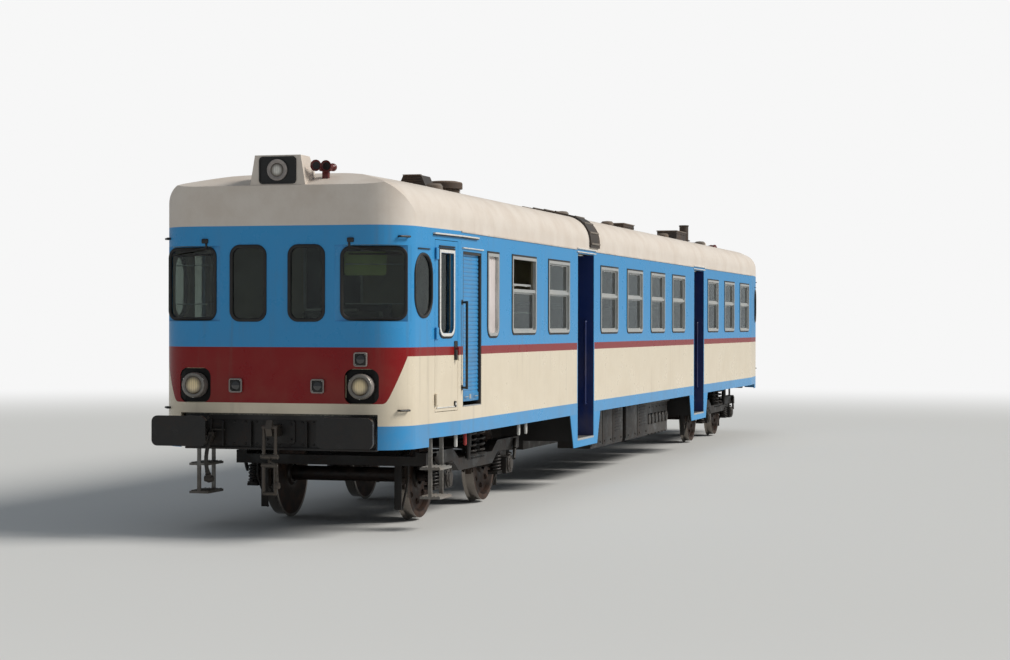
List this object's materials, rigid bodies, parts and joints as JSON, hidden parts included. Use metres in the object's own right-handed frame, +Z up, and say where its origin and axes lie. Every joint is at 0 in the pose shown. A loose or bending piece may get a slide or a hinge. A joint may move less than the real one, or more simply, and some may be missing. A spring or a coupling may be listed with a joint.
{
  "type": "diesel railcar",
  "caption": "Single diesel railcar with a driving cab at each end, recessed folding entrance doors, underfloor engines, two bogies, buffers and roof headlights.",
  "frame": {"origin": "middle of the vehicle on the floor under the wheel flanges, 28 mm below the rail top", "axes": "+X towards the leading cab, +Y to its left side, +Z up"},
  "size_m": [23.54, 3.016, 4.0278],
  "materials": {
    "body_paint": "gloss coat, blue above a red line, ivory below",
    "roof_paint": "matt weathered ivory",
    "door_paint": "satin dark blue",
    "floor_cover": "ribbed dark floor cover",
    "black_paint": "matt black with dust",
    "frame_aluminium": "brushed",
    "glass": "clear, slightly dusty",
    "seal_rubber": "black",
    "shutter_paint": "gloss blue",
    "lining": "cream laminate",
    "seat_cover": "brown imitation leather",
    "desk_plastic": "dark grey",
    "lamp_chrome": "bright rim",
    "horn_red": "dark red",
    "fitting_grey": "matt grey",
    "bare_steel": "rusty, oiled",
    "step_steel": "worn",
    "rail_steel": "gloss blue",
    "engine_iron": "oily grey",
    "bogie_paint": "black with brown dust",
    "wheel_steel": "brown rust, bright tread",
    "hose_rubber": "black"
  },
  "bodies": {
    "body": {"air_reservoirs": "black_paint", "bogie_pivots": "black_paint", "brake_fittings": "bare_steel", "brake_hose_front": "hose_rubber", "brake_hose_rear": "hose_rubber", "buffers": "black_paint", "cab_shells": "body_paint", "crew_steps": "step_steel", "draw_hooks": "bare_steel", "driver_seats": "seat_cover", "driving_desks": "desk_plastic", "end_lamps": "lamp_chrome", "engines": "engine_iron", "entrance_wells": "body_paint", "equipment_boxes": "black_paint", "floor": "floor_cover", "handrails": "rail_steel", "horns": "horn_red", "luggage_shutters": "shutter_paint", "open_window_frame": "frame_aluminium", "partitions": "lining", "roof": "roof_paint", "roof_domes": "roof_paint", "roof_fittings": "fitting_grey", "roof_headlights": "roof_paint", "seats": "seat_cover", "side_walls": "body_paint", "underframe": "black_paint", "window_frames": "frame_aluminium", "window_glass": "glass", "windscreen_seals": "seal_rubber", "windscreens": "glass"},
    "bogie_front": {"bogie_axle_boxes_front": "bogie_paint", "bogie_frame_front": "bogie_paint"},
    "bogie_rear": {"bogie_axle_boxes_rear": "bogie_paint", "bogie_frame_rear": "bogie_paint"},
    "crew_door_left": {"crew_door_glass_left": "glass", "crew_door_left": "body_paint"},
    "crew_door_right": {"crew_door_glass_right": "glass", "crew_door_right": "body_paint"},
    "door_left_1_leaf_a": {"door_left_1_leaf_a": "door_paint"},
    "door_left_1_leaf_b": {"door_left_1_leaf_b": "door_paint"},
    "door_left_2_leaf_a": {"door_left_2_leaf_a": "door_paint"},
    "door_left_2_leaf_b": {"door_left_2_leaf_b": "door_paint"},
    "door_right_1_leaf_a": {"door_right_1_leaf_a": "door_paint"},
    "door_right_1_leaf_b": {"door_right_1_leaf_b": "door_paint"},
    "door_right_2_leaf_a": {"door_right_2_leaf_a": "door_paint"},
    "door_right_2_leaf_b": {"door_right_2_leaf_b": "door_paint"},
    "axle_1": {"wheelset_1": "wheel_steel"},
    "axle_2": {"wheelset_2": "wheel_steel"},
    "axle_3": {"wheelset_3": "wheel_steel"},
    "axle_4": {"wheelset_4": "wheel_steel"}
  },
  "joints": [
    {"name": "bogie_front_swivel", "type": "hinge", "parent": "body", "child": "bogie_front", "pos_m": [7.97, 0, 0.668], "axis": [0, 0, 1], "range_deg": [-4, 4]},
    {"name": "bogie_rear_swivel", "type": "hinge", "parent": "body", "child": "bogie_rear", "pos_m": [-7.97, 0, 0.668], "axis": [0, 0, 1], "range_deg": [-4, 4]},
    {"name": "axle_1_spin", "type": "hinge", "parent": "bogie_front", "child": "axle_1", "pos_m": [9.195, 0, 0.488], "axis": [0, 1, 0], "continuous": true},
    {"name": "axle_2_spin", "type": "hinge", "parent": "bogie_front", "child": "axle_2", "pos_m": [6.745, 0, 0.488], "axis": [0, 1, 0], "continuous": true},
    {"name": "axle_3_spin", "type": "hinge", "parent": "bogie_rear", "child": "axle_3", "pos_m": [-6.745, 0, 0.488], "axis": [0, 1, 0], "continuous": true},
    {"name": "axle_4_spin", "type": "hinge", "parent": "bogie_rear", "child": "axle_4", "pos_m": [-9.195, 0, 0.488], "axis": [0, 1, 0], "continuous": true},
    {"name": "crew_door_left_hinge", "type": "hinge", "parent": "body", "child": "crew_door_left", "pos_m": [10.459, 1.39402, 1.4], "axis": [0, 0, -1], "range_deg": [0, 90]},
    {"name": "door_left_1_leaf_a_hinge", "type": "hinge", "parent": "body", "child": "door_left_1_leaf_a", "pos_m": [3.662, 1.145, 1.4], "axis": [0, 0, -1], "range_deg": [0, 82]},
    {"name": "door_left_1_leaf_b_hinge", "type": "hinge", "parent": "door_left_1_leaf_a", "child": "door_left_1_leaf_b", "pos_m": [4.1, 1.187, 1.4], "axis": [0, 0, 1], "range_deg": [0, 164]},
    {"name": "door_left_2_leaf_a_hinge", "type": "hinge", "parent": "body", "child": "door_left_2_leaf_a", "pos_m": [-4.538, 1.145, 1.4], "axis": [0, 0, -1], "range_deg": [0, 82]},
    {"name": "door_left_2_leaf_b_hinge", "type": "hinge", "parent": "door_left_2_leaf_a", "child": "door_left_2_leaf_b", "pos_m": [-4.1, 1.187, 1.4], "axis": [0, 0, 1], "range_deg": [0, 164]},
    {"name": "crew_door_right_hinge", "type": "hinge", "parent": "body", "child": "crew_door_right", "pos_m": [10.459, -1.39402, 1.4], "axis": [0, 0, 1], "range_deg": [0, 90]},
    {"name": "door_right_1_leaf_a_hinge", "type": "hinge", "parent": "body", "child": "door_right_1_leaf_a", "pos_m": [3.662, -1.145, 1.4], "axis": [0, 0, 1], "range_deg": [0, 82]},
    {"name": "door_right_1_leaf_b_hinge", "type": "hinge", "parent": "door_right_1_leaf_a", "child": "door_right_1_leaf_b", "pos_m": [4.1, -1.187, 1.4], "axis": [0, 0, -1], "range_deg": [0, 164]},
    {"name": "door_right_2_leaf_a_hinge", "type": "hinge", "parent": "body", "child": "door_right_2_leaf_a", "pos_m": [-4.538, -1.145, 1.4], "axis": [0, 0, 1], "range_deg": [0, 82]},
    {"name": "door_right_2_leaf_b_hinge", "type": "hinge", "parent": "door_right_2_leaf_a", "child": "door_right_2_leaf_b", "pos_m": [-4.1, -1.187, 1.4], "axis": [0, 0, -1], "range_deg": [0, 164]}
  ],
  "couplings": [
    {"joint": "door_left_1_leaf_b_hinge", "follows": "door_left_1_leaf_a_hinge", "ratio": 2},
    {"joint": "door_left_2_leaf_b_hinge", "follows": "door_left_2_leaf_a_hinge", "ratio": 2},
    {"joint": "door_right_1_leaf_b_hinge", "follows": "door_right_1_leaf_a_hinge", "ratio": 2},
    {"joint": "door_right_2_leaf_b_hinge", "follows": "door_right_2_leaf_a_hinge", "ratio": 2}
  ]
}
